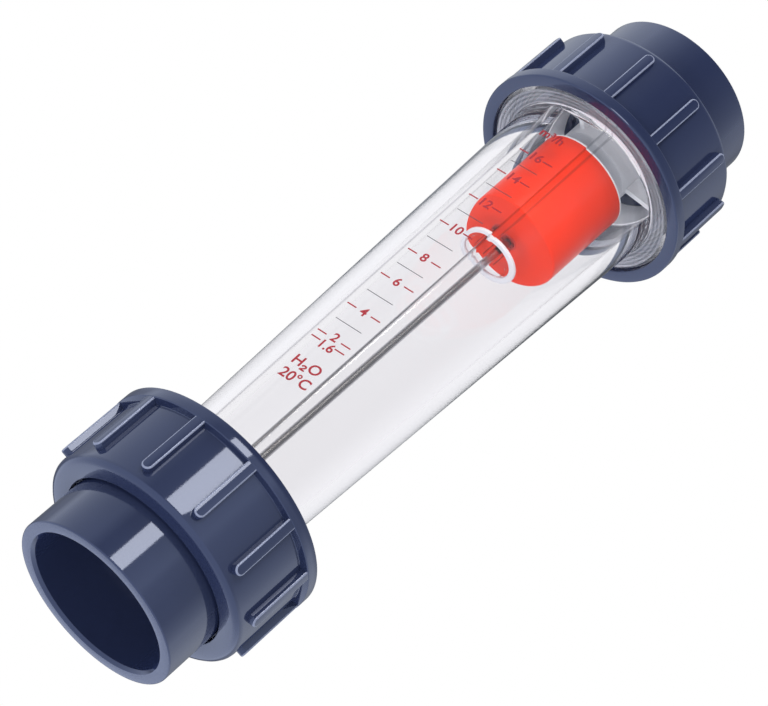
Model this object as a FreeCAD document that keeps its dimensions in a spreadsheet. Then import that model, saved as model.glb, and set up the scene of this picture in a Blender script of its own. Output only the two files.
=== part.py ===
"""Plastic-tube rotameter for a vertical pipe, with a union and a solvent socket at each end.

The flow axis is +Z, the origin is the centre of the bottom socket's face, and the flat
scale strip of the tube faces -Y. Every piece of an end is drawn once, with its heights
measured from its own socket face, and the top end is the bottom end turned over.
"""
import FreeCAD, Part
import math
import os
import Sketcher
from FreeCAD import Placement, Rotation, Vector

doc = FreeCAD.newDocument("Rotameter")

# Driving sizes, in millimetres unless the name says angle, count or taper.
SIZES = {
    "overall_length": 351.0,
    # tailpiece: pipe socket, barrel and union flange
    "pipe_diameter": 63.0,
    "socket_wall": 6.0,
    "socket_depth": 38.0,
    "socket_lead": 1.1,
    "flow_bore": 51.0,
    "stop_thickness": 4.0,
    # O-ring in the flange's end face
    "ring_section": 3.5,
    "ring_margin": 5.3,
    "ring_groove_width": 4.0,
    # union nut
    "flange_length": 9.5,
    "nut_lip": 7.5,
    "nut_length": 40.3,
    "nut_wall": 2.5,
    "nut_shoulder_round": 3.0,
    "nut_band_height": 3.2,
    "nut_band_length": 5.3,
    "nut_band_slope": 0.6,
    "nut_barrel_gap": 0.8,
    "nut_flange_gap": 1.7,
    "rib_setback": 5.3,
    "rib_width": 4.8,
    "rib_root": 1.5,
    "rib_count": 12.0,
    "top_nut_angle": 9.0,
    # clear meter body
    "collar_diameter": 89.8,
    "collar_recess": 0.7,
    "collar_chamfer": 1.5,
    "thread_clearance": 0.3,
    "neck_round": 1.2,
    "taper_bore_low": 47.2,
    "taper_bore_high": 60.8,
    "tube_wall_low": 5.8,
    "tube_wall_high": 6.5,
    "facet_depth_low": 2.0,
    "facet_depth_high": 1.8,
    # spiders that hold the guide rod
    "low_seat_ledge": 6.4,
    "high_seat_ledge": 2.6,
    "seat_depth": 14.0,
    "spider_clearance": 0.2,
    "spider_wall": 3.0,
    "hub_diameter": 34.0,
    "hub_wall": 2.4,
    "hub_floor": 4.0,
    "hub_nose": 3.0,
    "arm_width": 2.6,
    "arm_count": 3.0,
    "arm_azimuth": -10.0,
    # guide rod with its washers, nuts and rubber stops
    "rod_diameter": 3.5,
    "rod_clearance": 0.05,
    "washer_diameter": 9.0,
    "washer_thickness": 0.8,
    "hex_corner_radius": 3.6,
    "hex_thickness": 3.0,
    "rod_tail": 1.2,
    "stop_diameter": 10.0,
    "stop_length": 3.0,
    # float, placed below the top stop sleeve
    "float_headroom": 4.2,
    "float_length": 44.7,
    "float_diameter": 45.6,
    "float_edge": 1.0,
    "float_cavity_diameter": 20.0,
    "float_floor": 4.0,
    "core_hole_diameter": 8.0,
    "cap_thickness": 1.0,
    "bush_shank_diameter": 8.0,
    "bush_head_diameter": 14.0,
    "bush_head_thickness": 1.6,
    "bush_bore_clearance": 0.1,
    # reading ring below the float, and the clear carrier that holds it
    "guide_ring_drop": 12.1,
    "guide_ring_height": 1.6,
    "guide_ring_diameter": 25.4,
    "guide_ring_wall": 3.7,
    "stem_diameter": 6.4,
    "carrier_rim": 1.0,
    "spoke_width": 1.2,
    "spoke_count": 3.0,
}

sheet = doc.addObject("Spreadsheet::Sheet", "Sizes")
for row, (alias, value) in enumerate(SIZES.items(), start=1):
    sheet.set(f"A{row}", alias)
    sheet.set(f"B{row}", str(value))
    sheet.setAlias(f"B{row}", alias)
doc.recompute()


def size(name):
    """A sheet cell as it is written in an expression."""
    return f"Sizes.{name}"


def radius(name):
    return f"Sizes.{name} / 2"


# Lines that several pieces share, each worked out from the sheet.
BARREL = "(Sizes.pipe_diameter / 2 + Sizes.socket_wall)"
TAIL_END = "(Sizes.socket_depth + Sizes.stop_thickness)"
LIP_FACE = f"({TAIL_END} - Sizes.flange_length)"
NUT_START = f"({LIP_FACE} - Sizes.nut_lip)"
NUT_MOUTH = f"({NUT_START} + Sizes.nut_length)"
NUT_BORE = "(Sizes.collar_diameter / 2 + Sizes.thread_clearance)"
FLANK = f"({NUT_BORE} + Sizes.nut_wall)"
BAND = f"({FLANK} + Sizes.nut_band_height)"
FLANGE = f"({NUT_BORE} - Sizes.nut_flange_gap)"
RING_PITCH = f"({FLANGE} - Sizes.ring_margin)"
LOW_BORE = "(Sizes.taper_bore_low / 2)"
HIGH_BORE = "(Sizes.taper_bore_high / 2)"
LOW_SEAT = f"({LOW_BORE} + Sizes.low_seat_ledge)"
HIGH_SEAT = f"({HIGH_BORE} + Sizes.high_seat_ledge)"
HUB_FACE = f"({TAIL_END} + Sizes.seat_depth + Sizes.hub_nose)"
HUB_BACK = f"({HUB_FACE} - Sizes.hub_floor)"
TOP_SLEEVE = f"(Sizes.overall_length - {HUB_FACE} - Sizes.stop_length)"
FLOAT_TOP = f"({TOP_SLEEVE} - Sizes.float_headroom - Sizes.bush_head_thickness)"
FLOAT_LOW = f"({FLOAT_TOP} - Sizes.float_length)"


def from_top(height):
    """A height that the sheet measures down from the top socket's face."""
    return f"Sizes.overall_length - ({height})"


def origin_feature(body, role):
    return next(part for part in body.Origin.OriginFeatures if part.Role == role)


def sketch_on(body, role, name):
    sketch = body.newObject("Sketcher::SketchObject", name)
    sketch.AttachmentSupport = [(origin_feature(body, role), "")]
    sketch.MapMode = "FlatFace"
    return sketch


def bind(sketch, kind, refs, start, expression):
    """Add a dimension to a sketch and tie it to the sheet."""
    index = sketch.addConstraint(Sketcher.Constraint(kind, *refs, start))
    sketch.setExpression(f"Constraints[{index}]", expression)


def polygon(sketch, corners):
    """Closed outline whose corners are pairs of expressions for across and up."""
    first = sketch.GeometryCount
    count = len(corners)
    guess = [Vector(10.0 + 3.0 * i, 5.0 + 4.0 * i, 0) for i in range(count)]
    for i in range(count):
        sketch.addGeometry(Part.LineSegment(guess[i], guess[(i + 1) % count]), False)
    for i in range(count):
        following = first + (i + 1) % count
        sketch.addConstraint(Sketcher.Constraint("Coincident", first + i, 2, following, 1))
    for i, (across, up) in enumerate(corners):
        bind(sketch, "DistanceX", (-1, 1, first + i, 1), guess[i].x, across)
        bind(sketch, "DistanceY", (-1, 1, first + i, 1), guess[i].y, up)


def circle(sketch, expression):
    index = sketch.addGeometry(Part.Circle(Vector(0, 0, 0), Vector(0, 0, 1), 5.0), False)
    sketch.addConstraint(Sketcher.Constraint("Coincident", index, 3, -1, 1))
    bind(sketch, "Radius", (index,), 5.0, expression)


def new_body(label):
    body = doc.addObject("PartDesign::Body", label)
    body.Label = label
    return body


def revolve(body, corners, name="Turned"):
    """Turn an outline of radii and heights about the body's Z axis."""
    sketch = sketch_on(body, "XZ_Plane", f"{name}Outline")
    polygon(sketch, corners)
    turned = body.newObject("PartDesign::Revolution", name)
    turned.Profile = sketch
    turned.ReferenceAxis = (sketch, ["V_Axis"])
    turned.Angle = 360.0
    sketch.Visibility = False
    doc.recompute()
    return turned


def around_z(body, feature, count, name):
    """Repeat a feature evenly about the Z axis."""
    pattern = body.newObject("PartDesign::PolarPattern", name)
    pattern.Originals = [feature]
    pattern.Axis = (origin_feature(body, "Z_Axis"), [""])
    pattern.Angle = 360.0
    pattern.setExpression("Occurrences", count)
    body.Tip = pattern
    doc.recompute()
    return pattern


def turned_piece(label, corners):
    body = new_body(label)
    revolve(body, corners)
    return body


def tube_corners(inner, outer, low, high):
    return [(inner, low), (outer, low), (outer, high), (inner, high)]


def round_edge(body, feature, ring_radius, height, amount, name):
    """Round the circular edge of a turned feature at a given radius and height."""
    ring_radius = float(body.evalExpression(ring_radius))
    height = float(body.evalExpression(height))
    picked = []
    for index, edge in enumerate(feature.Shape.Edges, start=1):
        curve = edge.Curve
        if isinstance(curve, Part.Circle):
            near_radius = abs(curve.Radius - ring_radius) < 0.01
            if near_radius and abs(curve.Center.z - height) < 0.01:
                picked.append(f"Edge{index}")
    fillet = body.newObject("PartDesign::Fillet", name)
    fillet.Base = (feature, picked)
    fillet.setExpression("Radius", amount)
    doc.recompute()
    return fillet


def turn_over(piece, screwed_to=0.0):
    """Place a piece of the top end: the same piece, upside down at the top, at its own angle."""
    about_axis = Rotation(Vector(0, 0, 1), screwed_to)
    piece.Placement = Placement(Vector(0, 0, SIZES["overall_length"]),
                                about_axis * Rotation(Vector(1, 0, 0), 180))
    piece.setExpression(".Placement.Base.z", size("overall_length"))


def tailpiece(label):
    """Slate plastic end: solvent socket for the pipe, flow stop and union flange."""
    groove_inner = f"{RING_PITCH} - {radius('ring_groove_width')}"
    groove_outer = f"{RING_PITCH} + {radius('ring_groove_width')}"
    groove_floor = f"{TAIL_END} - {size('ring_section')}"
    return turned_piece(label, [
        (f"{radius('pipe_diameter')} + {size('socket_lead')}", "0"),
        (f"{BARREL} - {size('socket_lead')} / 2", "0"),
        (BARREL, f"{size('socket_lead')} / 2"),
        (BARREL, LIP_FACE),
        (FLANGE, LIP_FACE),
        (FLANGE, TAIL_END),
        (groove_outer, TAIL_END),
        (groove_outer, groove_floor),
        (groove_inner, groove_floor),
        (groove_inner, TAIL_END),
        (radius("flow_bore"), TAIL_END),
        (radius("flow_bore"), size("socket_depth")),
        (radius("pipe_diameter"), size("socket_depth")),
        (radius("pipe_diameter"), size("socket_lead")),
    ])


def rib_outline(sketch, low, high):
    """Outline of one grip rib, seen along the radius: a bar with a half-round low end."""
    half = radius("rib_width")
    centre = f"{low} + {half}"
    right = sketch.addGeometry(Part.LineSegment(Vector(2, 33, 0), Vector(2, 60, 0)), False)
    top = sketch.addGeometry(Part.LineSegment(Vector(2, 60, 0), Vector(-2, 60, 0)), False)
    left = sketch.addGeometry(Part.LineSegment(Vector(-2, 60, 0), Vector(-2, 33, 0)), False)
    whole = Part.Circle(Vector(0, 33, 0), Vector(0, 0, 1), 2.0)
    end = sketch.addGeometry(Part.ArcOfCircle(whole, math.pi, 2 * math.pi), False)
    for first, second in ((right, top), (top, left), (left, end), (end, right)):
        sketch.addConstraint(Sketcher.Constraint("Coincident", first, 2, second, 1))
    bind(sketch, "DistanceX", (-1, 1, right, 1), 2.0, half)
    bind(sketch, "DistanceX", (-1, 1, top, 1), 2.0, half)
    bind(sketch, "DistanceX", (top, 2, -1, 1), 2.0, half)
    bind(sketch, "DistanceX", (left, 2, -1, 1), 2.0, half)
    for line, point, height in ((right, 1, centre), (top, 1, high), (top, 2, high),
                                (left, 2, centre), (end, 3, centre)):
        bind(sketch, "DistanceY", (-1, 1, line, point), 33.0, height)


def union_nut(label):
    """Union nut: a lip behind the flange, bar-shaped grip ribs, and a thick band at its mouth."""
    body = new_body(label)
    hole = f"{BARREL} + {size('nut_barrel_gap')}"
    band_low = f"{NUT_MOUTH} - {size('nut_band_length')}"
    shell = revolve(body, [
        (hole, NUT_START),
        (FLANK, NUT_START),
        (FLANK, f"{band_low} - {size('nut_band_slope')}"),
        (BAND, band_low),
        (BAND, NUT_MOUTH),
        (NUT_BORE, NUT_MOUTH),
        (NUT_BORE, LIP_FACE),
        (hole, LIP_FACE),
    ], "Shell")
    round_edge(body, shell, FLANK, NUT_START, size("nut_shoulder_round"), "Shoulder")
    outline = sketch_on(body, "YZ_Plane", "RibOutline")
    outline.setExpression(".AttachmentOffset.Base.z", f"{FLANK} - {size('rib_root')}")
    rib_low = f"{NUT_START} + {size('rib_setback')}"
    rib_outline(outline, rib_low, f"{band_low} + {size('rib_root')}")
    rib = body.newObject("PartDesign::Pad", "Rib")
    rib.Profile = outline
    rib.setExpression("Length", f"{size('nut_band_height')} + {size('rib_root')}")
    outline.Visibility = False
    doc.recompute()
    around_z(body, rib, size("rib_count"), "Ribs")
    return body


def o_ring(label):
    ring = doc.addObject("Part::Torus", label)
    ring.Label = label
    ring.setExpression("Radius1", RING_PITCH)
    ring.setExpression("Radius2", radius("ring_section"))
    ring.setExpression(".Placement.Base.z", f"{TAIL_END} - {radius('ring_section')}")
    return ring


def spider(label, seat):
    """Rod holder: a wide cup-shaped hub on arms inside a rim that drops into the end seat."""
    body = new_body(label)
    rim_outer = f"{seat} - {size('spider_clearance')}"
    low = f"{TAIL_END} + {size('spider_clearance')}"
    high = f"{TAIL_END} + {size('seat_depth')}"
    rod_hole = f"{radius('rod_diameter')} + {size('rod_clearance')}"
    hub = radius("hub_diameter")
    cup = f"{hub} - {size('hub_wall')}"
    revolve(body, [(rod_hole, HUB_BACK), (cup, HUB_BACK), (cup, low), (hub, low),
                   (hub, HUB_FACE), (rod_hole, HUB_FACE)], "Hub")
    outline = sketch_on(body, "XZ_Plane", "ArmOutline")
    outline.AttachmentOffset = Placement(Vector(0, 0, 0), Rotation(Vector(0, 1, 0), 1.0))
    outline.setExpression(".AttachmentOffset.Rotation.Angle", size("arm_azimuth"))
    inner = f"{hub} - {size('hub_wall')} / 2"
    outer = f"{rim_outer} - {size('spider_wall')} / 2"
    polygon(outline, tube_corners(inner, outer, low, high))
    arm = body.newObject("PartDesign::Pad", "Arm")
    arm.Profile = outline
    arm.SideType = "Symmetric"
    arm.setExpression("Length", size("arm_width"))
    outline.Visibility = False
    doc.recompute()
    around_z(body, arm, size("arm_count"), "Arms")
    body.Tip = revolve(body, tube_corners(f"{rim_outer} - {size('spider_wall')}", rim_outer,
                                          low, high), "Rim")
    return body


def washer(label):
    return turned_piece(label, tube_corners(
        f"{radius('rod_diameter')} + {size('rod_clearance')}", radius("washer_diameter"),
        f"{HUB_BACK} - {size('washer_thickness')}", HUB_BACK))


def hex_nut(label):
    """Plain hexagon nut on the end of the guide rod, inside the hub's cup."""
    low = f"{HUB_BACK} - {size('washer_thickness')} - {size('hex_thickness')}"
    blank = doc.addObject("Part::Prism", f"{label}_blank")
    blank.Polygon = 6
    blank.setExpression("Circumradius", size("hex_corner_radius"))
    blank.setExpression("Height", size("hex_thickness"))
    hole = doc.addObject("Part::Cylinder", f"{label}_hole")
    hole.setExpression("Radius", f"{radius('rod_diameter')} + {size('rod_clearance')}")
    hole.setExpression("Height", size("hex_thickness"))
    nut = doc.addObject("Part::Cut", label)
    nut.Label = label
    nut.Base = blank
    nut.Tool = hole
    for piece in (blank, hole):
        piece.setExpression(".Placement.Base.z", low)
    return nut


def stop_sleeve(label):
    """Rubber sleeve on the rod, against the hub, that the float lands on."""
    return turned_piece(label, tube_corners(
        f"{radius('rod_diameter')} + {size('rod_clearance')}", radius("stop_diameter"),
        HUB_FACE, f"{HUB_FACE} + {size('stop_length')}"))


def meter_body(label):
    """Clear tapered tube with a threaded collar at each end and a flat for the scale."""
    body = new_body(label)
    high_end = from_top(TAIL_END)
    low_seat = f"{TAIL_END} + {size('seat_depth')}"
    high_seat = from_top(low_seat)
    low_collar = f"{NUT_MOUTH} - {size('collar_recess')}"
    high_collar = from_top(low_collar)
    low_neck = f"{low_collar} + {size('neck_round')}"
    high_neck = from_top(low_neck)
    chamfer = size("collar_chamfer")
    collar = radius("collar_diameter")
    low_cone = f"{LOW_BORE} + {size('tube_wall_low')}"
    high_cone = f"{HIGH_BORE} + {size('tube_wall_high')}"
    revolve(body, [
        (LOW_SEAT, TAIL_END),
        (collar, TAIL_END),
        (collar, f"{low_collar} - {chamfer}"),
        (f"{collar} - {chamfer}", low_collar),
        (f"{low_cone} + {size('neck_round')}", low_collar),
        (low_cone, low_neck),
        (high_cone, high_neck),
        (f"{high_cone} + {size('neck_round')}", high_collar),
        (f"{collar} - {chamfer}", high_collar),
        (collar, f"{high_collar} + {chamfer}"),
        (collar, high_end),
        (HIGH_SEAT, high_end),
        (HIGH_SEAT, high_seat),
        (HIGH_BORE, high_seat),
        (LOW_BORE, low_seat),
        (LOW_SEAT, low_seat),
    ], "Wall")
    outline = sketch_on(body, "YZ_Plane", "FacetOutline")
    polygon(outline, [
        (f"-({low_cone} - {size('facet_depth_low')})", low_neck),
        (f"-({high_cone} - {size('facet_depth_high')})", high_neck),
        (f"-{size('collar_diameter')}", high_neck),
        (f"-{size('collar_diameter')}", low_neck),
    ])
    facet = body.newObject("PartDesign::Pocket", "Facet")
    facet.Profile = outline
    facet.SideType = "Symmetric"
    facet.setExpression("Length", size("collar_diameter"))
    outline.Visibility = False
    doc.recompute()
    return body


def guide_rod(label):
    body = new_body(label)
    low = (f"{HUB_BACK} - {size('washer_thickness')} - {size('hex_thickness')}"
           f" - {size('rod_tail')}")
    outline = sketch_on(body, "XY_Plane", "RodOutline")
    circle(outline, radius("rod_diameter"))
    rod = body.newObject("PartDesign::Pad", "Rod")
    rod.Profile = outline
    rod.setExpression("Length", f"{size('overall_length')} - 2 * ({low})")
    body.setExpression(".Placement.Base.z", low)
    outline.Visibility = False
    return body


def float_pieces():
    """The red float on its two bushes, with its weight inside and its lid on top."""
    edge = size("float_edge")
    outer = radius("float_diameter")
    cavity = radius("float_cavity_diameter")
    shank = radius("bush_shank_diameter")
    head = radius("bush_head_diameter")
    head_top = f"{FLOAT_TOP} + {size('bush_head_thickness')}"
    bush_bore = f"{radius('rod_diameter')} + {size('bush_bore_clearance')}"
    floor = f"{FLOAT_LOW} + {size('float_floor')}"
    spigot = f"{FLOAT_TOP} - {size('float_floor')}"
    rim = f"{FLOAT_TOP} - {size('cap_thickness')}"
    return [
        turned_piece("float_body", [
            (shank, FLOAT_LOW), (f"{outer} - {edge}", FLOAT_LOW),
            (outer, f"{FLOAT_LOW} + {edge}"), (outer, rim),
            (cavity, rim), (cavity, floor), (shank, floor)]),
        turned_piece("float_weight", tube_corners(
            radius("core_hole_diameter"), cavity, floor, spigot)),
        turned_piece("float_cap", [
            (shank, spigot), (cavity, spigot), (cavity, rim),
            (outer, rim), (outer, FLOAT_TOP), (shank, FLOAT_TOP)]),
        turned_piece("float_top_bush", [
            (bush_bore, spigot), (shank, spigot), (shank, FLOAT_TOP),
            (head, FLOAT_TOP), (head, head_top), (bush_bore, head_top)]),
        turned_piece("float_bottom_bush", tube_corners(bush_bore, shank, FLOAT_LOW, floor)),
        guide_ring("float_guide_ring"),
        ring_carrier("float_ring_carrier"),
    ]


def guide_ring(label):
    """White hoop below the float whose level is read against the scale."""
    outer = radius("guide_ring_diameter")
    high = f"{FLOAT_LOW} - {size('guide_ring_drop')} + {size('guide_ring_height')}"
    return turned_piece(label, tube_corners(
        f"{outer} - {size('guide_ring_wall')}", outer,
        f"{FLOAT_LOW} - {size('guide_ring_drop')}", high))


def ring_carrier(label):
    """Clear stem around the rod, with thin spokes to a rim that the hoop is pressed over."""
    body = new_body(label)
    bore = f"{radius('rod_diameter')} + {size('bush_bore_clearance')}"
    low = f"{FLOAT_LOW} - {size('guide_ring_drop')}"
    high = f"{low} + {size('guide_ring_height')}"
    seat = f"{radius('guide_ring_diameter')} - {size('guide_ring_wall')}"
    revolve(body, tube_corners(bore, radius("stem_diameter"), low, FLOAT_LOW), "Stem")
    outline = sketch_on(body, "XZ_Plane", "SpokeOutline")
    inner = f"{radius('stem_diameter')} - {size('spoke_width')} / 2"
    polygon(outline, tube_corners(inner, f"{seat} - {size('carrier_rim')} / 2", low, high))
    spoke = body.newObject("PartDesign::Pad", "Spoke")
    spoke.Profile = outline
    spoke.SideType = "Symmetric"
    spoke.setExpression("Length", size("spoke_width"))
    outline.Visibility = False
    doc.recompute()
    around_z(body, spoke, size("spoke_count"), "Spokes")
    body.Tip = revolve(body, tube_corners(f"{seat} - {size('carrier_rim')}", seat, low, high),
                       "Rim")
    return body


nodes = [meter_body("meter_body"), guide_rod("guide_rod")]
for end, seat in (("bottom", LOW_SEAT), ("top", HIGH_SEAT)):
    pieces = [
        tailpiece(f"{end}_socket"),
        union_nut(f"{end}_union_nut"),
        spider(f"{end}_spider", seat),
        washer(f"{end}_rod_washer"),
        hex_nut(f"{end}_rod_nut"),
        stop_sleeve(f"{end}_stop_sleeve"),
    ]
    if end == "top":
        for piece in pieces:
            turn_over(piece, SIZES["top_nut_angle"] if "union_nut" in piece.Label else 0.0)
    seal = o_ring(f"{end}_o_ring")
    if end == "top":
        seal.setExpression(".Placement.Base.z",
                           from_top(f"{TAIL_END} - {radius('ring_section')}"))
    nodes += pieces + [seal]
nodes += float_pieces()
doc.recompute()

for item in doc.Objects:
    if "Invalid" in item.State or "Error" in item.State:
        raise RuntimeError(f"{item.Name} failed: {item.State}")
for node in nodes:
    if node.Shape.isNull() or not node.Shape.isValid():
        raise RuntimeError(f"{node.Label} has no valid shape")
    if len(node.Shape.Solids) != 1:
        raise RuntimeError(f"{node.Label} has {len(node.Shape.Solids)} solids")

os.makedirs("parts", exist_ok=True)
for node in nodes:
    node.Shape.exportStep(f"parts/{node.Label}.step")
    box = node.Shape.BoundBox
    print(f"{node.Label:20s} volume {node.Shape.Volume:10.1f}  radius {box.XMax:6.2f}"
          f"  height {box.ZMin:7.2f} to {box.ZMax:7.2f}")
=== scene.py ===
import math
import bpy
from mathutils import Matrix, Vector


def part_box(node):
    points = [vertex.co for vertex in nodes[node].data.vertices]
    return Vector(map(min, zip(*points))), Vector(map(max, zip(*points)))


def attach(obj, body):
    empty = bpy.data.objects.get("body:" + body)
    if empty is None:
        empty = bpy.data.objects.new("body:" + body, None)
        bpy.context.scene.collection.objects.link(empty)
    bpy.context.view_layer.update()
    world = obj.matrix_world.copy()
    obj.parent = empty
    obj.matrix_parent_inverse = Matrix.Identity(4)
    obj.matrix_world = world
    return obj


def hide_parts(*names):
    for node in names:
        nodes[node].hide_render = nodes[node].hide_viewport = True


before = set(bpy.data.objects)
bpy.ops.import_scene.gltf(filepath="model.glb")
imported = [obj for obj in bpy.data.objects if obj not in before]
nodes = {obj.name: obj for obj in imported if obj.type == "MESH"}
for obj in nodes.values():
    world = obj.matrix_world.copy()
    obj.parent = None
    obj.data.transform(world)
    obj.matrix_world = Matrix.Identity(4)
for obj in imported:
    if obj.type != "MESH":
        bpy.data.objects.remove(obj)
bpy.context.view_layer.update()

# The stage: the meter stands on its inlet end on a pale floor that only covers what is above it,
# so the meter can also be looked at from below, against a plain white studio.
MM = 0.001
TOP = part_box("top_socket")[1].z

bpy.ops.object.select_all(action="DESELECT")
CAMERA_PLACE = (0.49876, -0.86388, -0.42147)
CAMERA_TURN = [math.radians(angle) for angle in (131.56, -40.4765, 0.0366)]
bpy.ops.object.camera_add(location=CAMERA_PLACE, rotation=CAMERA_TURN)
camera = bpy.context.object
camera.data.lens = 138.27
camera.data.sensor_width = 36.0
camera.data.clip_end = 20.0
bpy.context.scene.camera = camera
bpy.context.scene.view_settings.view_transform = "Standard"


def new_material(name):
    """An empty node material, with its node tree and its output node."""
    made = bpy.data.materials.new(name)
    made.use_nodes = True
    tree = made.node_tree
    tree.nodes.clear()
    return made, tree, tree.nodes.new("ShaderNodeOutputMaterial")


def add_node(tree, kind, **settings):
    """A node in a tree, with its settings made."""
    node = tree.nodes.new(kind)
    for key, value in settings.items():
        setattr(node, key, value)
    return node


floor_paint, tree, out = new_material("floor_paint")
paint = add_node(tree, "ShaderNodeBsdfDiffuse")
paint.inputs["Color"].default_value = (0.86, 0.86, 0.86, 1)
clear = add_node(tree, "ShaderNodeBsdfTransparent")
side = add_node(tree, "ShaderNodeNewGeometry")
path = add_node(tree, "ShaderNodeLightPath")
from_above = add_node(tree, "ShaderNodeMath", operation="SUBTRACT", use_clamp=True)
tree.links.new(path.outputs["Is Camera Ray"], from_above.inputs[0])
tree.links.new(side.outputs["Backfacing"], from_above.inputs[1])
choose = add_node(tree, "ShaderNodeMixShader")
tree.links.new(from_above.outputs[0], choose.inputs[0])
tree.links.new(clear.outputs[0], choose.inputs[1])
tree.links.new(paint.outputs[0], choose.inputs[2])
tree.links.new(choose.outputs[0], out.inputs["Surface"])

bpy.ops.mesh.primitive_plane_add(size=6.0, location=(0, 0, 0))
floor = bpy.context.object
floor.name = "floor"
floor.data.materials.append(floor_paint)

world = bpy.context.scene.world or bpy.data.worlds.new("studio")
bpy.context.scene.world = world
world.use_nodes = True
tree = world.node_tree
tree.nodes.clear()
out = add_node(tree, "ShaderNodeOutputWorld")
white = add_node(tree, "ShaderNodeBackground")
white.inputs["Color"].default_value = (1, 1, 1, 1)
white.inputs["Strength"].default_value = 1.0
soft = add_node(tree, "ShaderNodeBackground")
heading = add_node(tree, "ShaderNodeTexCoord")
path = add_node(tree, "ShaderNodeLightPath")

# What the gloss sees: walls round the studio, by compass bearing in degrees and brightness, with
# a darker band of them higher up, and a pale ground. Matt light comes evenly from the same room.
split = add_node(tree, "ShaderNodeSeparateXYZ")
tree.links.new(heading.outputs["Generated"], split.inputs[0])
bearing = add_node(tree, "ShaderNodeMath", operation="ARCTAN2")
tree.links.new(split.outputs["Y"], bearing.inputs[0])
tree.links.new(split.outputs["X"], bearing.inputs[1])
turn_round = add_node(tree, "ShaderNodeMapRange")
turn_round.inputs["From Min"].default_value = -math.pi
turn_round.inputs["From Max"].default_value = math.pi
tree.links.new(bearing.outputs[0], turn_round.inputs["Value"])
WALLS = ((-180, 1.8), (-150, 1.6), (-120, 1.3), (-104, 0.45), (-90, 0.55), (-60, 1.4), (-41, 1.8),
         (-32, 1.3), (-10, 1.0), (9, 1.0), (26, 1.5), (40, 1.9), (60, 1.5), (90, 0.6),
         (115, 0.15), (150, 0.3), (168, 0.7), (180, 1.8))
UPPER_WALLS = ((-180, 1.4), (-150, 1.9), (-120, 1.2), (-95, 0.4), (-72, 0.05), (-54, 0.05),
               (-20, 0.35), (14, 0.8), (37, 1.1), (60, 0.8), (90, 0.3), (120, 0.2), (180, 1.4))
WALL_TINT = (0.84, 0.9, 1.0)
GROUND_GLOW = (1.45, 1.6, 1.95, 1)
ramps = []
for levels in (WALLS, UPPER_WALLS):
    ramp = add_node(tree, "ShaderNodeValToRGB")
    while len(ramp.color_ramp.elements) < len(levels):
        ramp.color_ramp.elements.new(0.5)
    for stop, (degrees, level) in zip(ramp.color_ramp.elements, levels):
        stop.position = (degrees + 180) / 360
        stop.color = (*[level * share for share in WALL_TINT], 1)
    tree.links.new(turn_round.outputs["Result"], ramp.inputs["Fac"])
    ramps.append(ramp)
ceiling = add_node(tree, "ShaderNodeMapRange", interpolation_type="SMOOTHSTEP")
ceiling.inputs["From Min"].default_value = 0.44
ceiling.inputs["From Max"].default_value = 0.54
tree.links.new(split.outputs["Z"], ceiling.inputs["Value"])
walls = add_node(tree, "ShaderNodeMixRGB")
tree.links.new(ceiling.outputs["Result"], walls.inputs[0])
tree.links.new(ramps[0].outputs["Color"], walls.inputs[1])
tree.links.new(ramps[1].outputs["Color"], walls.inputs[2])
ground = add_node(tree, "ShaderNodeMapRange", interpolation_type="SMOOTHSTEP")
ground.inputs["From Min"].default_value = -0.05
ground.inputs["From Max"].default_value = -0.30
ground.inputs["To Max"].default_value = 0.9
tree.links.new(split.outputs["Z"], ground.inputs["Value"])
lower = add_node(tree, "ShaderNodeMixRGB")
lower.inputs[2].default_value = GROUND_GLOW
tree.links.new(ground.outputs["Result"], lower.inputs[0])
tree.links.new(walls.outputs["Color"], lower.inputs[1])
tree.links.new(lower.outputs["Color"], soft.inputs["Color"])
even = add_node(tree, "ShaderNodeBackground")
even.inputs["Color"].default_value = (0.93, 0.95, 1.0, 1)
matt_level = add_node(tree, "ShaderNodeMath", operation="MULTIPLY_ADD")
tree.links.new(ground.outputs["Result"], matt_level.inputs[0])
matt_level.inputs[1].default_value = 0.6
matt_level.inputs[2].default_value = 0.3
tree.links.new(matt_level.outputs[0], even.inputs["Strength"])
room = add_node(tree, "ShaderNodeMixShader")
tree.links.new(path.outputs["Is Diffuse Ray"], room.inputs[0])
tree.links.new(soft.outputs[0], room.inputs[1])
tree.links.new(even.outputs[0], room.inputs[2])

# Seen straight or through the clear tube, the backdrop is a white sheet; rays that the tube
# bends far aside miss the sheet and find the dim room, which draws the tube's grey edges.
beyond = add_node(tree, "ShaderNodeVectorMath", operation="DOT_PRODUCT")
beyond.inputs[1].default_value = (-0.43, 0.75, 0.50)
tree.links.new(heading.outputs["Generated"], beyond.inputs[0])
sheet = add_node(tree, "ShaderNodeMapRange", interpolation_type="SMOOTHSTEP")
sheet.inputs["From Min"].default_value = -0.1
sheet.inputs["From Max"].default_value = 0.7
sheet.inputs["To Min"].default_value = 0.2
sheet.inputs["To Max"].default_value = 0.9
tree.links.new(beyond.outputs["Value"], sheet.inputs["Value"])
through = add_node(tree, "ShaderNodeBackground")
through.inputs["Color"].default_value = (0.985, 0.975, 1.0, 1)
tree.links.new(sheet.outputs["Result"], through.inputs["Strength"])
bent = add_node(tree, "ShaderNodeMixShader")
tree.links.new(path.outputs["Is Transmission Ray"], bent.inputs[0])
tree.links.new(room.outputs[0], bent.inputs[1])
tree.links.new(through.outputs[0], bent.inputs[2])
mix = add_node(tree, "ShaderNodeMixShader")
tree.links.new(path.outputs["Is Camera Ray"], mix.inputs[0])
tree.links.new(bent.outputs[0], mix.inputs[1])
tree.links.new(white.outputs[0], mix.inputs[2])
tree.links.new(mix.outputs[0], out.inputs["Surface"])


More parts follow.
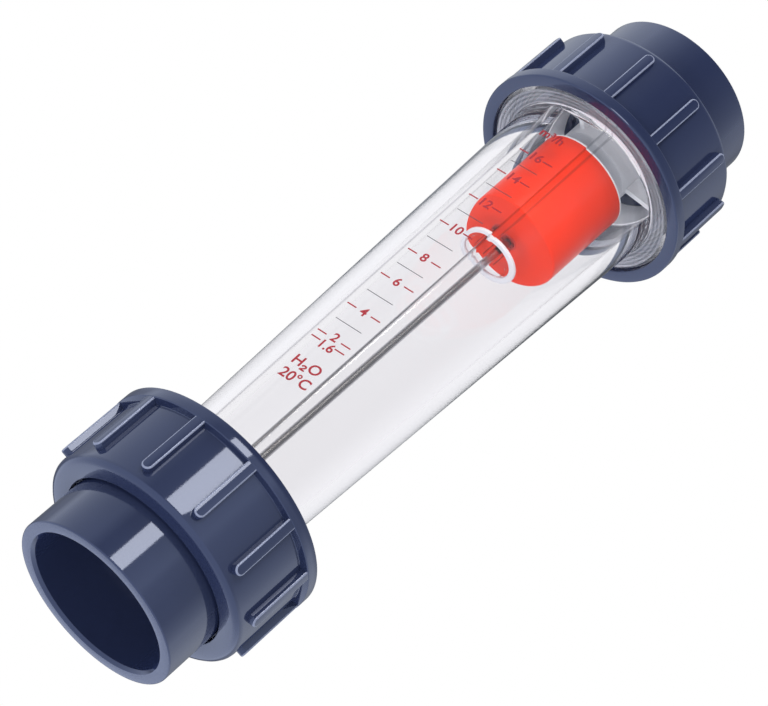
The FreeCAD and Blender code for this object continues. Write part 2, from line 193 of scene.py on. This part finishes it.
# The lamps: one key softbox that draws the streak on the near union, and two fill lamps that
# light the matt surfaces and don't show in the gloss.
def softbox(name, azimuth, elevation, distance, width, height, radiance, tint=(1, 1, 1)):
    """A rectangular lamp that faces the middle of the near union, with an even glow."""
    azimuth, elevation = math.radians(azimuth), math.radians(elevation)
    aim = Vector((0, 0, 60 * MM))
    toward = Vector((math.cos(elevation) * math.cos(azimuth),
                     math.cos(elevation) * math.sin(azimuth), math.sin(elevation)))
    bpy.ops.object.light_add(type="AREA", location=aim + toward * distance,
                             rotation=toward.to_track_quat("Z", "Y").to_euler())
    lamp = bpy.context.object
    lamp.name = name
    lamp.data.shape = "RECTANGLE"
    lamp.data.size = width
    lamp.data.size_y = height
    lamp.data.energy = radiance * math.pi * width * height
    lamp.data.color = tint
    lamp.visible_transmission = False
    return lamp


softbox("key_box", -77, 14, 1.3, 0.42, 0.66, 12.5, (1.0, 0.95, 0.86))
for fill in (softbox("high_box", -70, 62, 1.2, 0.8, 0.8, 4.0),
             softbox("low_box", -60, -60, 1.5, 0.9, 0.9, 5.0)):
    fill.visible_glossy = False


# The tailpieces: slate-blue rigid plastic, moulded in one piece, with a plain socket that the
# pipe is cemented into. The lathe-like calls here are used again by the other round pieces.
def rounded(outline, steps=5):
    """Outline points (radius, height, round) in millimetres, with each round made an arc."""
    points = []
    count = len(outline)
    for i, (radius, height, corner) in enumerate(outline):
        here = Vector((radius, height))
        if corner == 0:
            points.append(here)
            continue
        before = (Vector(outline[i - 1][:2]) - here).normalized()
        after = (Vector(outline[(i + 1) % count][:2]) - here).normalized()
        half = before.angle(after) / 2
        reach = corner / math.tan(half)
        centre = here + (before + after).normalized() * (corner / math.sin(half))
        start = (here + before * reach) - centre
        end = (here + after * reach) - centre
        turn_by = math.atan2(start.x * end.y - start.y * end.x, start.dot(end))
        for k in range(steps + 1):
            angle = turn_by * k / steps
            spun = Vector((start.x * math.cos(angle) - start.y * math.sin(angle),
                           start.x * math.sin(angle) + start.y * math.cos(angle)))
            points.append(centre + spun)
    return points


def turned(name, outline, steps=128, smooth=35):
    """Turn a closed outline of millimetre points about the flow axis into a solid ring."""
    points = rounded(outline)
    bpy.ops.object.select_all(action="DESELECT")
    bpy.ops.mesh.primitive_plane_add(size=MM)
    ring = bpy.context.object
    ring.name = name
    bpy.ops.object.mode_set(mode="EDIT")
    bpy.ops.mesh.select_mode(type="VERT")
    bpy.ops.mesh.select_all(action="SELECT")
    bpy.ops.mesh.merge(type="CENTER")
    bpy.ops.transform.translate(value=(points[0].x * MM, 0, points[0].y * MM))
    for here, following in zip(points, points[1:] + points[:1]):
        step = (following - here) * MM
        bpy.ops.mesh.extrude_vertices_move(
            TRANSFORM_OT_translate={"value": (step.x, 0, step.y)})
    bpy.ops.mesh.select_all(action="SELECT")
    bpy.ops.mesh.remove_doubles(threshold=1e-6)
    bpy.ops.mesh.spin(steps=steps, angle=2 * math.pi, center=(0, 0, 0), axis=(0, 0, 1))
    bpy.ops.mesh.select_all(action="SELECT")
    bpy.ops.mesh.remove_doubles(threshold=1e-6)
    bpy.ops.mesh.normals_make_consistent(inside=False)
    bpy.ops.object.mode_set(mode="OBJECT")
    bpy.ops.object.shade_smooth_by_angle(angle=math.radians(smooth))
    return ring


def turn_over(piece, screwed_to=0.0):
    """Turn a finished bottom piece upside down to the top end, in its mesh."""
    over = Matrix.Rotation(math.radians(screwed_to), 4, "Z") @ Matrix.Rotation(math.pi, 4, "X")
    piece.data.transform(Matrix.Translation((0, 0, TOP)) @ over)


def plastic_skin():
    """The node group of all moulded pieces: uneven colour, uneven gloss and orange peel."""
    group = bpy.data.node_groups.new("plastic_skin", "ShaderNodeTree")
    for name, kind in (("Place", "NodeSocketVector"), ("Colour", "NodeSocketColor"),
                       ("Roughness", "NodeSocketFloat"), ("Peel", "NodeSocketFloat")):
        group.interface.new_socket(name, in_out="INPUT", socket_type=kind)
    for name, kind in (("Colour", "NodeSocketColor"), ("Roughness", "NodeSocketFloat"),
                       ("Normal", "NodeSocketVector")):
        group.interface.new_socket(name, in_out="OUTPUT", socket_type=kind)
    given = add_node(group, "NodeGroupInput")
    result = add_node(group, "NodeGroupOutput")
    cloud = add_node(group, "ShaderNodeTexNoise")
    cloud.inputs["Scale"].default_value = 35.0
    cloud.inputs["Detail"].default_value = 3.0
    tone = add_node(group, "ShaderNodeMapRange")
    tone.inputs["To Min"].default_value = 0.93
    tone.inputs["To Max"].default_value = 1.07
    tinted = add_node(group, "ShaderNodeVectorMath", operation="SCALE")
    sheen = add_node(group, "ShaderNodeMapRange")
    sheen.inputs["To Min"].default_value = 0.8
    sheen.inputs["To Max"].default_value = 1.2
    uneven = add_node(group, "ShaderNodeMath", operation="MULTIPLY")
    skin = add_node(group, "ShaderNodeTexNoise")
    skin.inputs["Scale"].default_value = 900.0
    bump = add_node(group, "ShaderNodeBump")
    bump.inputs["Distance"].default_value = 0.0001
    links = group.links
    links.new(given.outputs["Place"], cloud.inputs["Vector"])
    links.new(given.outputs["Place"], skin.inputs["Vector"])
    links.new(cloud.outputs["Fac"], tone.inputs["Value"])
    links.new(cloud.outputs["Fac"], sheen.inputs["Value"])
    links.new(given.outputs["Colour"], tinted.inputs[0])
    links.new(tone.outputs["Result"], tinted.inputs["Scale"])
    links.new(given.outputs["Roughness"], uneven.inputs[0])
    links.new(sheen.outputs["Result"], uneven.inputs[1])
    links.new(given.outputs["Peel"], bump.inputs["Strength"])
    links.new(skin.outputs["Fac"], bump.inputs["Height"])
    links.new(tinted.outputs["Vector"], result.inputs["Colour"])
    links.new(uneven.outputs[0], result.inputs["Roughness"])
    links.new(bump.outputs["Normal"], result.inputs["Normal"])
    return group


SKIN = plastic_skin()


def moulded_plastic(name, colour, roughness, peel):
    """Moulded plastic: the shared skin group with this piece's colour, gloss and peel."""
    made, tree, out = new_material(name)
    shader = add_node(tree, "ShaderNodeBsdfPrincipled")
    place = add_node(tree, "ShaderNodeTexCoord")
    skin = add_node(tree, "ShaderNodeGroup", node_tree=SKIN)
    skin.inputs["Colour"].default_value = (*colour, 1)
    skin.inputs["Roughness"].default_value = roughness
    skin.inputs["Peel"].default_value = peel
    tree.links.new(place.outputs["Object"], skin.inputs["Place"])
    tree.links.new(skin.outputs["Colour"], shader.inputs["Base Color"])
    tree.links.new(skin.outputs["Roughness"], shader.inputs["Roughness"])
    tree.links.new(skin.outputs["Normal"], shader.inputs["Normal"])
    tree.links.new(shader.outputs[0], out.inputs["Surface"])
    return made, shader


slate_plastic, slate_shader = moulded_plastic("slate_plastic", (0.015, 0.0205, 0.049), 0.07, 0.03)
# The ribs' rounded outer edges get a lighter slate: a painted highlight standing in for the
# lamps' glint along them.
slate_painted_highlight, highlight_shader = moulded_plastic("slate_painted_highlight", (0.17, 0.19, 0.27), 0.2, 0.03)
for shader in (slate_shader, highlight_shader):
    shader.inputs["Specular Tint"].default_value = (0.68, 0.76, 1.0, 1)

PIPE, BARREL, FLANGE, FLOW_WAY = 31.5, 37.5, 43.5, 25.5
LIP_FACE, SOCKET_END, PIPE_STOP = 32.5, 42.0, 38.0
GROOVE_IN, GROOVE_OUT, GROOVE_DEEP = 36.2, 40.2, 3.5
for end in ("bottom", "top"):
    socket = turned(f"{end}_tailpiece", [
        (PIPE + 1.1, 0.0, 0.3),
        (BARREL, 0.0, 0.7),
        (BARREL, LIP_FACE, 0),
        (FLANGE, LIP_FACE, 0.5),
        (FLANGE, SOCKET_END, 0.5),
        (GROOVE_OUT, SOCKET_END, 0),
        (GROOVE_OUT, SOCKET_END - GROOVE_DEEP, 0),
        (GROOVE_IN, SOCKET_END - GROOVE_DEEP, 0),
        (GROOVE_IN, SOCKET_END, 0),
        (FLOW_WAY, SOCKET_END, 0.5),
        (FLOW_WAY, PIPE_STOP, 0.5),
        (PIPE, PIPE_STOP, 0.8),
        (PIPE, 1.3, 0.6),
    ])
    socket.data.materials.append(slate_plastic)
    if end == "top":
        turn_over(socket)
    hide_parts(f"{end}_socket")
    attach(socket, f"{end}_tailpiece")

# The union nuts: the same slate plastic, moulded with twelve grip ribs and a thick band
# round the mouth. The nut's lip pulls the tailpiece's flange against the tube.
NUT_START, NUT_MOUTH, FLANK, BAND = 25.0, 65.3, 47.7, 50.9
NUT_HOLE, NUT_BORE = 38.3, 45.2
BAND_LOW = NUT_MOUTH - 5.3
RIB_LOW, RIB_WIDE, RIB_THICK, RIB_COUNT = 30.3, 4.8, 5.2, 12
TOP_NUT_TURN = 9.0


def nut_shell(name):
    """The nut without its ribs."""
    return turned(name, [
        (NUT_HOLE, NUT_START, 0.5),
        (FLANK, NUT_START, 3.0),
        (FLANK, BAND_LOW - 0.6, 0.4),
        (BAND, BAND_LOW, 0.6),
        (BAND, NUT_MOUTH, 0.7),
        (NUT_BORE, NUT_MOUTH, 0.6),
        (NUT_BORE, LIP_FACE, 0.5),
        (NUT_HOLE, LIP_FACE, 0.3),
    ], steps=144)


def grip_rib(turn_by):
    """One rib: a low bar with a rounded lower end, running up into the band."""
    length = BAND_LOW + 1.5 - RIB_LOW
    bpy.ops.object.select_all(action="DESELECT")
    bpy.ops.mesh.primitive_cube_add(size=1, location=(0, 0, 0))
    rib = bpy.context.object
    for skin in (slate_plastic, slate_painted_highlight):
        rib.data.materials.append(skin)
    rib.data.transform(Matrix.Diagonal((RIB_THICK * MM, RIB_WIDE * MM, length * MM, 1)))
    bpy.ops.object.mode_set(mode="EDIT")
    bpy.ops.mesh.select_mode(type="EDGE")
    bpy.ops.mesh.select_all(action="DESELECT")
    bpy.ops.object.mode_set(mode="OBJECT")
    low = -length / 2 * MM + 1e-6
    for edge in rib.data.edges:
        ends = [rib.data.vertices[v].co for v in edge.vertices]
        edge.select = all(p.z < low for p in ends) and abs(ends[0].x - ends[1].x) > MM
    bpy.ops.object.mode_set(mode="EDIT")
    bpy.ops.mesh.bevel(offset=RIB_WIDE * 0.49 * MM, segments=8, affect="EDGES")
    bpy.ops.mesh.select_all(action="DESELECT")
    bpy.ops.object.mode_set(mode="OBJECT")
    outer = RIB_THICK / 2 * MM - 1e-6
    for edge in rib.data.edges:
        edge.select = all(rib.data.vertices[v].co.x > outer for v in edge.vertices)
    bpy.ops.object.mode_set(mode="EDIT")
    # The rounded outer edges take the second material, the lighter slate painted on as a
    # highlight.
    bpy.ops.mesh.bevel(offset=0.6 * MM, segments=3, affect="EDGES", material=1)
    bpy.ops.object.mode_set(mode="OBJECT")
    middle = (BAND - 2.8, 0, RIB_LOW + length / 2)
    rib.data.transform(Matrix.Rotation(turn_by, 4, "Z") @ Matrix.Translation(Vector(middle) * MM))
    return rib


for end in ("bottom", "top"):
    nut = nut_shell(f"{end}_nut")
    for skin in (slate_plastic, slate_painted_highlight):
        nut.data.materials.append(skin)
    ribs = [grip_rib(math.radians(360 / RIB_COUNT * k)) for k in range(RIB_COUNT)]
    bpy.ops.object.select_all(action="DESELECT")
    for rib in ribs:
        rib.select_set(True)
    bpy.context.view_layer.objects.active = ribs[0]
    bpy.ops.object.join()
    ribs = bpy.context.object
    bpy.ops.object.select_all(action="DESELECT")
    nut.select_set(True)
    bpy.context.view_layer.objects.active = nut
    union = nut.modifiers.new("ribs", "BOOLEAN")
    union.operation = "UNION"
    union.solver = "EXACT"
    union.object = ribs
    bpy.ops.object.modifier_apply(modifier="ribs")
    bpy.data.objects.remove(ribs)
    bpy.ops.object.shade_smooth_by_angle(angle=math.radians(35))
    if end == "top":
        turn_over(nut, TOP_NUT_TURN)
    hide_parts(f"{end}_union_nut")
    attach(nut, f"{end}_nut")

# The metering tube: one clear casting, tapered inside and out, with a screwed collar at each
# end and a flat planed along the front for the scale.
COLLAR, COLLAR_LOW, COLLAR_HIGH = 44.9, 64.6, 286.4
CONE_LOW, CONE_HIGH = 29.4, 36.9
TUBE_LOW, TUBE_HIGH = 42.0, 309.0
FACET_LOW, FACET_HIGH = 27.4, 35.1
BORE_LOW, BORE_HIGH, SEAT_LOW, SEAT_HIGH, SEAT_DEEP = 23.6, 30.4, 30.0, 33.0, 14.0
THREAD_PITCH, THREAD_DEEP = 3.0, 1.4


def thread_teeth(low, high):
    """Points of a rounded thread's section between two heights, upwards."""
    points = []
    height = low
    while height + THREAD_PITCH <= high:
        points += [(COLLAR, height, 0.2), (COLLAR, height + 1.0, 0.2),
                   (COLLAR - THREAD_DEEP, height + 1.6, 0.2),
                   (COLLAR - THREAD_DEEP, height + 2.4, 0.2)]
        height += THREAD_PITCH
    return points


tube = turned("metering_tube", [
    (SEAT_LOW, TUBE_LOW, 0.3),
    *thread_teeth(TUBE_LOW, COLLAR_LOW - 4.0),
    (COLLAR, COLLAR_LOW - 3.5, 0),
    (COLLAR, COLLAR_LOW - 1.5, 0.3),
    (COLLAR - 1.5, COLLAR_LOW, 0.3),
    (CONE_LOW, COLLAR_LOW, 1.2),
    (CONE_HIGH, COLLAR_HIGH, 1.2),
    (COLLAR - 1.5, COLLAR_HIGH, 0.3),
    (COLLAR, COLLAR_HIGH + 1.5, 0.3),
    *thread_teeth(COLLAR_HIGH + 3.5, TUBE_HIGH - 1.0),
    (COLLAR, TUBE_HIGH, 0.5),
    (SEAT_HIGH, TUBE_HIGH, 0.3),
    (SEAT_HIGH, TUBE_HIGH - SEAT_DEEP, 0.2),
    (BORE_HIGH, TUBE_HIGH - SEAT_DEEP, 0.4),
    (BORE_LOW, TUBE_LOW + SEAT_DEEP, 0.4),
    (SEAT_LOW, TUBE_LOW + SEAT_DEEP, 0.2),
], steps=256, smooth=25)

bpy.ops.object.select_all(action="DESELECT")
bpy.ops.mesh.primitive_cube_add(size=1)
planer = bpy.context.object
STRIP_LOW, STRIP_HIGH = COLLAR_LOW + 1.2, COLLAR_HIGH - 1.2
for corner in planer.data.vertices:
    up = corner.co.z > 0
    near = corner.co.y > 0
    face = FACET_HIGH if up else FACET_LOW
    reach = -face if near else -60
    corner.co = Vector((corner.co.x * 90, reach, STRIP_HIGH if up else STRIP_LOW)) * MM
bpy.ops.object.select_all(action="DESELECT")
tube.select_set(True)
bpy.context.view_layer.objects.active = tube
cut = tube.modifiers.new("facet", "BOOLEAN")
cut.operation = "DIFFERENCE"
cut.solver = "EXACT"
cut.object = planer
bpy.ops.object.modifier_apply(modifier="facet")
bpy.data.objects.remove(planer)
bpy.ops.object.shade_smooth_by_angle(angle=math.radians(12))

clear_acrylic, tree, out = new_material("clear_acrylic")
shader = add_node(tree, "ShaderNodeBsdfPrincipled")
shader.inputs["Transmission Weight"].default_value = 1.0
shader.inputs["IOR"].default_value = 1.38
shader.inputs["Roughness"].default_value = 0.01
place = add_node(tree, "ShaderNodeTexCoord")
stretch = add_node(tree, "ShaderNodeMapping")
stretch.inputs["Scale"].default_value = (60, 60, 6)
flow = add_node(tree, "ShaderNodeTexNoise")
flow.inputs["Scale"].default_value = 1.0
flow.inputs["Detail"].default_value = 2.0
ripple = add_node(tree, "ShaderNodeBump")
ripple.inputs["Strength"].default_value = 0.05
ripple.inputs["Distance"].default_value = 0.0006
soft_edge = add_node(tree, "ShaderNodeBevel")
soft_edge.inputs["Radius"].default_value = 0.0006
tree.links.new(soft_edge.outputs["Normal"], ripple.inputs["Normal"])
tree.links.new(place.outputs["Object"], stretch.inputs["Vector"])
tree.links.new(stretch.outputs["Vector"], flow.inputs["Vector"])
tree.links.new(flow.outputs["Fac"], ripple.inputs["Height"])
tree.links.new(ripple.outputs["Normal"], shader.inputs["Normal"])

# Along the flat's two long edges a grey is mixed into the glass's colour: a painted shade line
# for the dark line the edges draw by bending light.
where = add_node(tree, "ShaderNodeSeparateXYZ")
tree.links.new(place.outputs["Object"], where.inputs[0])
across = add_node(tree, "ShaderNodeMath", operation="ABSOLUTE")
tree.links.new(where.outputs["X"], across.inputs[0])
half_low = math.sqrt(CONE_LOW ** 2 - FACET_LOW ** 2)
half_high = math.sqrt(CONE_HIGH ** 2 - FACET_HIGH ** 2)
edge_slope = (half_high - half_low) / (STRIP_HIGH - STRIP_LOW)
edge_at = add_node(tree, "ShaderNodeMath", operation="MULTIPLY_ADD")
tree.links.new(where.outputs["Z"], edge_at.inputs[0])
edge_at.inputs[1].default_value = edge_slope
edge_at.inputs[2].default_value = (half_low - edge_slope * STRIP_LOW) * MM
off_edge = add_node(tree, "ShaderNodeMath", operation="SUBTRACT")
tree.links.new(across.outputs[0], off_edge.inputs[0])
tree.links.new(edge_at.outputs[0], off_edge.inputs[1])
near_edge = add_node(tree, "ShaderNodeMath", operation="ABSOLUTE")
tree.links.new(off_edge.outputs[0], near_edge.inputs[0])
line = add_node(tree, "ShaderNodeMapRange", interpolation_type="SMOOTHSTEP")
line.inputs["From Min"].default_value = 0.1 * MM
line.inputs["From Max"].default_value = 0.8 * MM
line.inputs["To Min"].default_value = 1.0
line.inputs["To Max"].default_value = 0.0
tree.links.new(near_edge.outputs[0], line.inputs["Value"])
front = add_node(tree, "ShaderNodeMath", operation="LESS_THAN")
tree.links.new(where.outputs["Y"], front.inputs[0])
front.inputs[1].default_value = -26.0 * MM
shade_line_mask = add_node(tree, "ShaderNodeMath", operation="MULTIPLY")
tree.links.new(line.outputs["Result"], shade_line_mask.inputs[0])
tree.links.new(front.outputs[0], shade_line_mask.inputs[1])
# Painted shade: grey mixed into the glass colour along the flat's edges.
painted_edge_shade = add_node(tree, "ShaderNodeMixRGB")
painted_edge_shade.inputs[1].default_value = (0.985, 0.983, 0.99, 1)
painted_edge_shade.inputs[2].default_value = (0.5, 0.5, 0.53, 1)
tree.links.new(shade_line_mask.outputs[0], painted_edge_shade.inputs[0])
tree.links.new(painted_edge_shade.outputs[0], shader.inputs["Base Color"])

# The screwed collars are duller than the tube: their cut faces scatter some of the light, in
# fine rings that the tool left.
off_middle = add_node(tree, "ShaderNodeMath", operation="SUBTRACT")
tree.links.new(where.outputs["Z"], off_middle.inputs[0])
off_middle.inputs[1].default_value = TOP / 2
from_middle = add_node(tree, "ShaderNodeMath", operation="ABSOLUTE")
tree.links.new(off_middle.outputs[0], from_middle.inputs[0])
on_collar = add_node(tree, "ShaderNodeMath", operation="GREATER_THAN")
tree.links.new(from_middle.outputs[0], on_collar.inputs[0])
on_collar.inputs[1].default_value = TOP / 2 - (COLLAR_LOW + 0.1) * MM
flat_place = add_node(tree, "ShaderNodeVectorMath", operation="MULTIPLY")
tree.links.new(place.outputs["Object"], flat_place.inputs[0])
flat_place.inputs[1].default_value = (1, 1, 0)
radius = add_node(tree, "ShaderNodeVectorMath", operation="LENGTH")
tree.links.new(flat_place.outputs["Vector"], radius.inputs[0])
turns = add_node(tree, "ShaderNodeMath", operation="MULTIPLY")
tree.links.new(radius.outputs["Value"], turns.inputs[0])
RING_PITCH = 1.7
turns.inputs[1].default_value = 2 * math.pi / (RING_PITCH * MM)
rings = add_node(tree, "ShaderNodeMath", operation="SINE")
tree.links.new(turns.outputs[0], rings.inputs[0])
scatter = add_node(tree, "ShaderNodeMapRange")
tree.links.new(rings.outputs[0], scatter.inputs["Value"])
scatter.inputs["From Min"].default_value = -1.0
scatter.inputs["To Min"].default_value = 0.03
scatter.inputs["To Max"].default_value = 0.17
dullness = add_node(tree, "ShaderNodeMath", operation="MULTIPLY")
tree.links.new(on_collar.outputs[0], dullness.inputs[0])
tree.links.new(scatter.outputs["Result"], dullness.inputs[1])
milk = add_node(tree, "ShaderNodeBsdfDiffuse")
milk.inputs["Color"].default_value = (0.86, 0.85, 0.87, 1)
dulled = add_node(tree, "ShaderNodeMixShader")
tree.links.new(dullness.outputs[0], dulled.inputs[0])
tree.links.new(shader.outputs[0], dulled.inputs[1])
tree.links.new(milk.outputs[0], dulled.inputs[2])

path = add_node(tree, "ShaderNodeLightPath")
lit = add_node(tree, "ShaderNodeMath", operation="MAXIMUM")
tree.links.new(path.outputs["Is Shadow Ray"], lit.inputs[0])
tree.links.new(path.outputs["Is Diffuse Ray"], lit.inputs[1])
passing = add_node(tree, "ShaderNodeBsdfTransparent")
passing.inputs["Color"].default_value = (0.94, 0.94, 0.95, 1)
choose = add_node(tree, "ShaderNodeMixShader")
tree.links.new(lit.outputs[0], choose.inputs[0])
tree.links.new(dulled.outputs[0], choose.inputs[1])
tree.links.new(passing.outputs[0], choose.inputs[2])
tree.links.new(choose.outputs[0], out.inputs["Surface"])
tube.data.materials.clear()
tube.data.materials.append(clear_acrylic)
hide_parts("meter_body")
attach(tube, "tube")

# The scale: red figures and dashes and thin grey lines, screen-printed on the flat strip.
# The even values have a figure between two dashes, the odd ones a plain line.
STEP_HEIGHTS = {1.6: 130.7, 2: 134.3, 3: 143.0, 4: 151.6, 5: 161.4, 6: 171.3, 7: 179.3,
                8: 187.6, 9: 197.3, 10: 207.0, 11: 215.9, 12: 225.0, 13: 233.9, 14: 242.6,
                15: 249.8, 16: 257.0}
SCALE_MIDDLE = -1.0
FIGURE_TALL, LEGEND_TALL, DASH_THICK, LINE_THICK = 4.2, 4.7, 0.62, 0.3
NUDGES = {1.6: -1.1, 2: 0.6}


def ink(name, colour):
    """Screen ink: matt, with a trace of specks."""
    made, tree, out = new_material(name)
    shader = add_node(tree, "ShaderNodeBsdfPrincipled")
    shader.inputs["Roughness"].default_value = 0.45
    place = add_node(tree, "ShaderNodeTexCoord")
    speck = add_node(tree, "ShaderNodeTexNoise")
    speck.inputs["Scale"].default_value = 1500.0
    tone = add_node(tree, "ShaderNodeMixRGB")
    tone.inputs[1].default_value = (*[c * 0.85 for c in colour], 1)
    tone.inputs[2].default_value = (*[min(1, c * 1.15) for c in colour], 1)
    tree.links.new(place.outputs["Object"], speck.inputs["Vector"])
    tree.links.new(speck.outputs["Fac"], tone.inputs[0])
    tree.links.new(tone.outputs[0], shader.inputs["Base Color"])
    tree.links.new(shader.outputs[0], out.inputs["Surface"])
    return made


red_ink = ink("red_ink", (0.26, 0.006, 0.014))
grey_ink = ink("grey_ink", (0.03, 0.025, 0.035))
SLOPE = (FACET_HIGH - FACET_LOW) / (STRIP_HIGH - STRIP_LOW)


def on_strip(across, height, lift=0.05):
    """A point on the flat strip, in metres, lifted off it by a hair."""
    forward = -(FACET_LOW + SLOPE * (height - STRIP_LOW)) - lift
    return Vector((across, forward, height)) * MM


def strip_frame(across, height):
    """Turns a flat drawing's x across the strip and its y up along it."""
    tilt = math.atan(SLOPE)
    upright = Matrix.Rotation(math.pi / 2 + tilt, 4, "X")
    return Matrix.Translation(on_strip(across, height)) @ upright


def printed_line(left, right, height, thick, material):
    """A printed line across the strip."""
    bpy.ops.object.select_all(action="DESELECT")
    bpy.ops.mesh.primitive_cube_add(size=1)
    line = bpy.context.object
    line.data.transform(Matrix.Diagonal(((right - left) * MM, thick * MM, 0.03 * MM, 1)))
    line.data.transform(strip_frame((left + right) / 2, height))
    line.data.materials.append(material)
    return line


def printed_words(words, tall, middle, height):
    """Printed red characters, with their middle at a height on the strip."""
    bpy.ops.object.select_all(action="DESELECT")
    bpy.ops.object.text_add()
    text = bpy.context.object
    text.data.body = words
    text.data.size = tall * MM / 0.7
    text.data.align_x = "CENTER"
    text.data.align_y = "CENTER"
    text.data.extrude = 0.015 * MM
    text.data.offset = 0.13 * MM
    bpy.ops.object.convert(target="MESH")
    text.data.transform(strip_frame(middle, height))
    text.data.materials.clear()
    text.data.materials.append(red_ink)
    return text


def joined(name, marks):
    """Joins printed marks to one piece that rides on the tube."""
    bpy.ops.object.select_all(action="DESELECT")
    for mark in marks:
        mark.select_set(True)
    bpy.context.view_layer.objects.active = marks[0]
    bpy.ops.object.join()
    marks[0].name = name
    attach(marks[0], "tube")


reds, greys = [], []
for value, height in STEP_HEIGHTS.items():
    if value in (1.6, 16) or value % 2 == 0:
        for left, right in ((-8.2, -3.7), (3.5, 8.2)):
            reds.append(printed_line(SCALE_MIDDLE + left, SCALE_MIDDLE + right, height,
                                     DASH_THICK, red_ink))
        level = height + NUDGES.get(value, 0)
        reds.append(printed_words(f"{value:g}", FIGURE_TALL, SCALE_MIDDLE, level))
    else:
        greys.append(printed_line(SCALE_MIDDLE - 6.7, SCALE_MIDDLE + 6.2, height,
                                  LINE_THICK, grey_ink))
for legend, tall, across, height in (("m³/h", FIGURE_TALL, -2.0, 270.0),
                                     ("H₂O", LEGEND_TALL, 0.8, 117.8),
                                     ("20°C", LEGEND_TALL, 1.4, 110.2)):
    reds.append(printed_words(legend, tall, SCALE_MIDDLE + across, height))
joined("scale_figures", reds)
joined("scale_lines", greys)

# The float: a bright red moulded cylinder with its cap, bushes and weight, and a white ring
# below it. It slides on the polished steel rod.
red_plastic, red_shader = moulded_plastic("red_plastic", (0.88, 0.03, 0.001), 0.3, 0.03)
red_shader.inputs["Specular IOR Level"].default_value = 0.12
red_shader.inputs["Subsurface Weight"].default_value = 0.15
red_shader.inputs["Subsurface Radius"].default_value = (0.004, 0.001, 0.0005)
white_plastic, _ = moulded_plastic("white_plastic", (0.88, 0.88, 0.89), 0.35, 0.05)
milky_plastic, milky_shader = moulded_plastic("milky_plastic", (0.88, 0.87, 0.88), 0.3, 0.05)
milky_shader.inputs["Alpha"].default_value = 0.8
black_rubber, _ = moulded_plastic("black_rubber", (0.02, 0.02, 0.02), 0.6, 0.2)

float_low, float_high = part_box("float_body")
low, high, lid = float_low.z / MM, float_high.z / MM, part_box("float_cap")[1].z / MM
FLOAT, WEIGHT_ROOM, BUSH_HOLE, FLOAT_WALL = 22.8, 10.0, 4.0, 4.0
float_shell = turned("float_shell", [
    (BUSH_HOLE, low, 0.3),
    (FLOAT, low, 1.0),
    (FLOAT, high, 0.1),
    (WEIGHT_ROOM, high, 0),
    (WEIGHT_ROOM, low + FLOAT_WALL, 0),
    (BUSH_HOLE, low + FLOAT_WALL, 0),
], steps=160)
float_shell.data.materials.append(red_plastic)
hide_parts("float_body")
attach(float_shell, "float")

float_lid = turned("float_lid", [
    (BUSH_HOLE, lid - FLOAT_WALL, 0),
    (WEIGHT_ROOM, lid - FLOAT_WALL, 0),
    (WEIGHT_ROOM, high, 0),
    (FLOAT, high, 0.1),
    (FLOAT, lid, 0.4),
    (BUSH_HOLE, lid, 0.2),
], steps=160)
float_lid.data.materials.append(white_plastic)
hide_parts("float_cap")
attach(float_lid, "float")

HOOP_IN, HOOP_OUT = 9.8, 12.7
low, high = (corner.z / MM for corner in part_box("float_guide_ring"))
hoop = turned("reading_hoop", [
    (HOOP_IN, low, 0.5),
    (HOOP_OUT, low, 0.6),
    (HOOP_OUT, high, 0.6),
    (HOOP_IN, high, 0.5),
], steps=96)
hoop.data.materials.append(milky_plastic)
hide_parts("float_guide_ring")
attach(hoop, "float")

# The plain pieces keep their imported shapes: the rod and its fastenings are polished steel, the
# stop sleeves and seals rubber, the spiders and the upper bush white plastic.
steel, tree, out = new_material("polished_steel")
shader = add_node(tree, "ShaderNodeBsdfPrincipled")
shader.inputs["Base Color"].default_value = (0.56, 0.56, 0.58, 1)
shader.inputs["Metallic"].default_value = 1.0
place = add_node(tree, "ShaderNodeTexCoord")
drawn = add_node(tree, "ShaderNodeMapping")
drawn.inputs["Scale"].default_value = (900, 900, 20)
lines = add_node(tree, "ShaderNodeTexNoise")
grain = add_node(tree, "ShaderNodeMapRange")
grain.inputs["To Min"].default_value = 0.12
grain.inputs["To Max"].default_value = 0.28
tree.links.new(place.outputs["Object"], drawn.inputs["Vector"])
tree.links.new(drawn.outputs["Vector"], lines.inputs["Vector"])
tree.links.new(lines.outputs["Fac"], grain.inputs["Value"])
tree.links.new(grain.outputs["Result"], shader.inputs["Roughness"])
tree.links.new(shader.outputs[0], out.inputs["Surface"])

# The thin clear carrier of the ring hardly shows: a faint gloss over what is behind it.
thin_clear, tree, out = new_material("thin_clear_plastic")
look = add_node(tree, "ShaderNodeBsdfTransparent")
look.inputs["Color"].default_value = (0.97, 0.97, 0.98, 1)
shine = add_node(tree, "ShaderNodeBsdfGlossy")
shine.inputs["Roughness"].default_value = 0.1
graze = add_node(tree, "ShaderNodeFresnel")
graze.inputs["IOR"].default_value = 1.06
blend = add_node(tree, "ShaderNodeMixShader")
tree.links.new(graze.outputs[0], blend.inputs[0])
tree.links.new(look.outputs[0], blend.inputs[1])
tree.links.new(shine.outputs[0], blend.inputs[2])
tree.links.new(blend.outputs[0], out.inputs["Surface"])

red_rubber, _ = moulded_plastic("red_rubber", (0.7, 0.02, 0.006), 0.5, 0.2)

FINISHES = {
    "guide_rod": steel, "float_weight": steel, "float_top_bush": white_plastic,
    "float_bottom_bush": red_rubber, "float_ring_carrier": thin_clear,
}
for end in ("bottom", "top"):
    FINISHES.update({
        f"{end}_spider": white_plastic, f"{end}_rod_washer": steel, f"{end}_rod_nut": steel,
        f"{end}_stop_sleeve": black_rubber, f"{end}_o_ring": black_rubber})
for name, finish in FINISHES.items():
    nodes[name].data.materials.clear()
    nodes[name].data.materials.append(finish)
